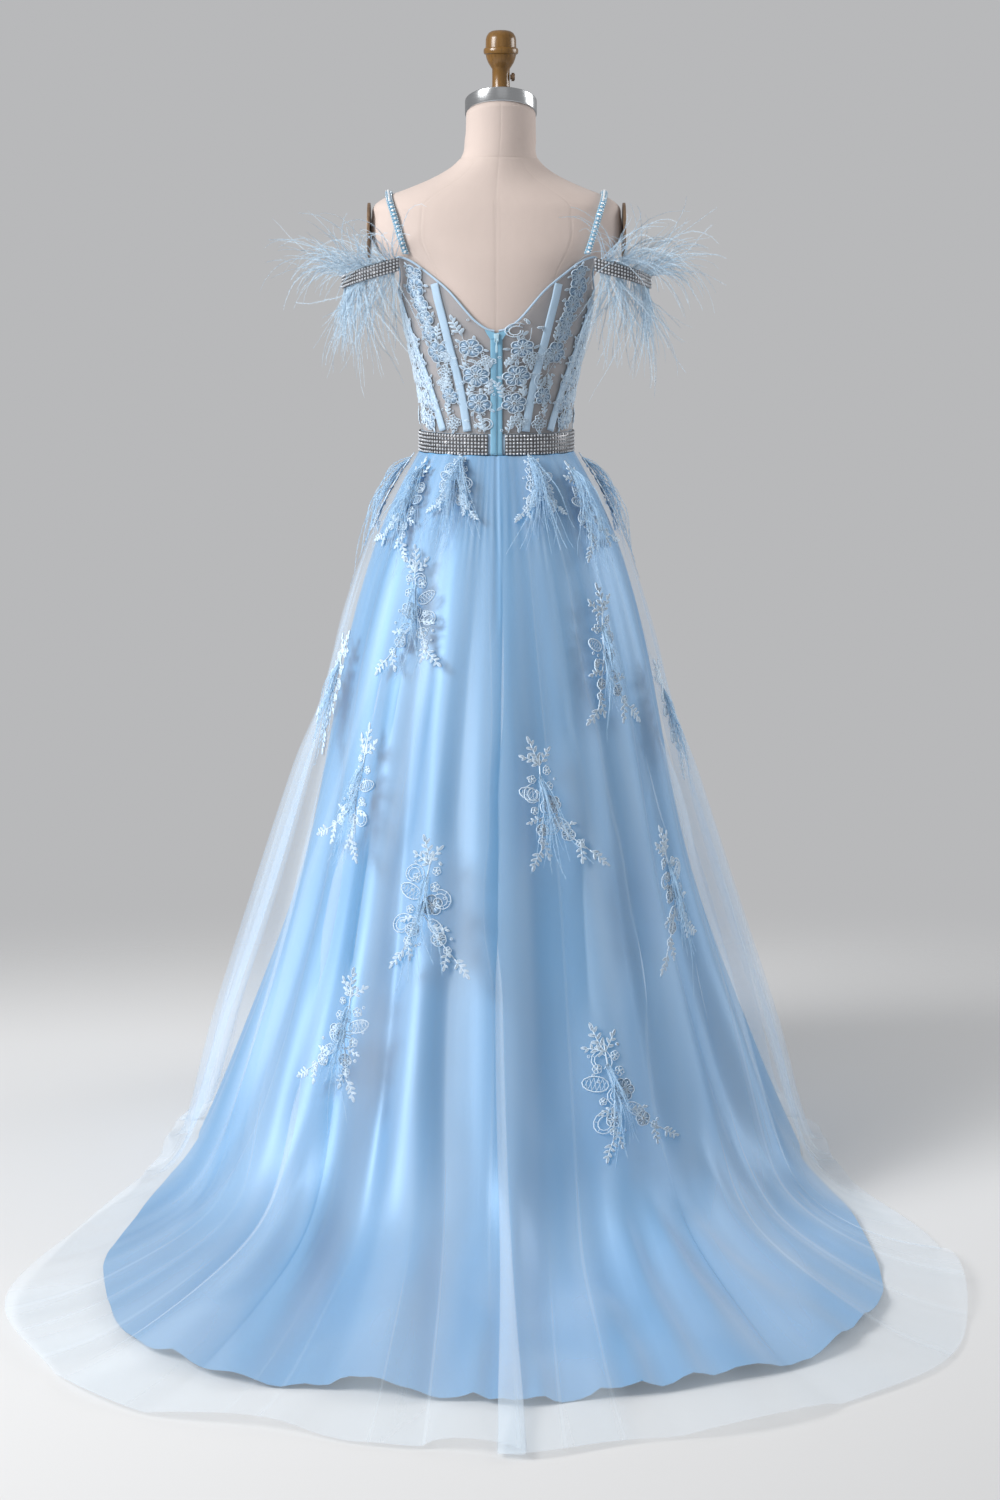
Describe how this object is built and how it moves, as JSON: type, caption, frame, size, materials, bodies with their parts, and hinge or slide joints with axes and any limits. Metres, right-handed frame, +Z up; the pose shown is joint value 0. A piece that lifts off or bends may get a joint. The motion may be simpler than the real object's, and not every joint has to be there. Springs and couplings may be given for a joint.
{
  "type": "ball gown on dress form",
  "caption": "Off-shoulder ball gown with a corset bodice, feather and rhinestone trim, lace sprigs, a tulle skirt and a train, standing on a limbless dress form.",
  "frame": {"origin": "on the floor, at the middle of the underside of the dress form's base", "axes": "+Z up; +Y the way the wearer would face, so the zip and the train are on the -Y side; +X the wearer's right"},
  "size_m": [1.2568, 1.5643, 1.6743],
  "materials": {
    "form linen": "cream linen with a plain weave",
    "polished steel": "polished",
    "brown varnish": "glossy brown varnish",
    "dark metal": "dark, half matt",
    "painted iron": "dark paint",
    "sheer mesh": "sheer grey net",
    "channel satin": "pale blue satin",
    "rhinestone": "silver-backed clear stones",
    "feather": "pale blue ostrich",
    "corded lace": "pale blue cord on net",
    "blue satin": "light blue, high sheen",
    "blue tulle": "sheer light blue net",
    "zip tape": "teal blue"
  },
  "bodies": {
    "gown_on_form": {"arm_band_L": "rhinestone", "arm_band_R": "rhinestone", "belt": "rhinestone", "bodice_back_L": "sheer mesh", "bodice_back_R": "sheer mesh", "bodice_front": "sheer mesh", "bodice_side_L": "sheer mesh", "bodice_side_R": "sheer mesh", "bodice_side_back_L": "sheer mesh", "bodice_side_back_R": "sheer mesh", "bodice_side_front_L": "sheer mesh", "bodice_side_front_R": "sheer mesh", "boning_front_L": "channel satin", "boning_front_R": "channel satin", "boning_inner_L": "channel satin", "boning_inner_R": "channel satin", "boning_outer_L": "channel satin", "boning_outer_R": "channel satin", "feather_trim_L": "feather", "feather_trim_R": "feather", "form_arm_plate_L": "dark metal", "form_arm_plate_R": "dark metal", "form_finial": "brown varnish", "form_neck_cap": "polished steel", "form_stand": "painted iron", "form_torso": "form linen", "lace_back_L": "corded lace", "lace_back_R": "corded lace", "lace_hem_left": "corded lace", "lace_hem_right": "corded lace", "lace_lower_left": "corded lace", "lace_lower_right": "corded lace", "lace_middle_left": "corded lace", "lace_middle_right": "corded lace", "lace_side_back_L": "corded lace", "lace_side_back_R": "corded lace", "lace_upper_left": "corded lace", "lace_upper_right": "corded lace", "lace_waist_back_left": "corded lace", "lace_waist_back_right": "corded lace", "lace_waist_front_left": "corded lace", "lace_waist_front_right": "corded lace", "lace_waist_left": "corded lace", "lace_waist_right": "corded lace", "neckline_binding": "channel satin", "satin_back_L": "blue satin", "satin_back_R": "blue satin", "satin_front": "blue satin", "strap_L": "rhinestone", "strap_R": "rhinestone", "tulle_back_L": "blue tulle", "tulle_back_R": "blue tulle", "tulle_front": "blue tulle", "waistband": "channel satin", "zip_slider": "zip tape", "zip_tape_L": "zip tape", "zip_tape_R": "zip tape"},
    "zip_pull": {"zip_pull": "zip tape"},
    "finial_screw": {"form_finial_screw": "dark metal"}
  },
  "joints": [
    {"name": "zip_pull_swing", "type": "hinge", "parent": "gown_on_form", "child": "zip_pull", "pos_m": [0, -0.10889, 1.23], "axis": [-1, 0, 0], "range_deg": [0, 160]},
    {"name": "finial_screw_turn", "type": "hinge", "parent": "gown_on_form", "child": "finial_screw", "pos_m": [0.0205, 0, 1.608], "axis": [1, 0, 0], "continuous": true}
  ]
}
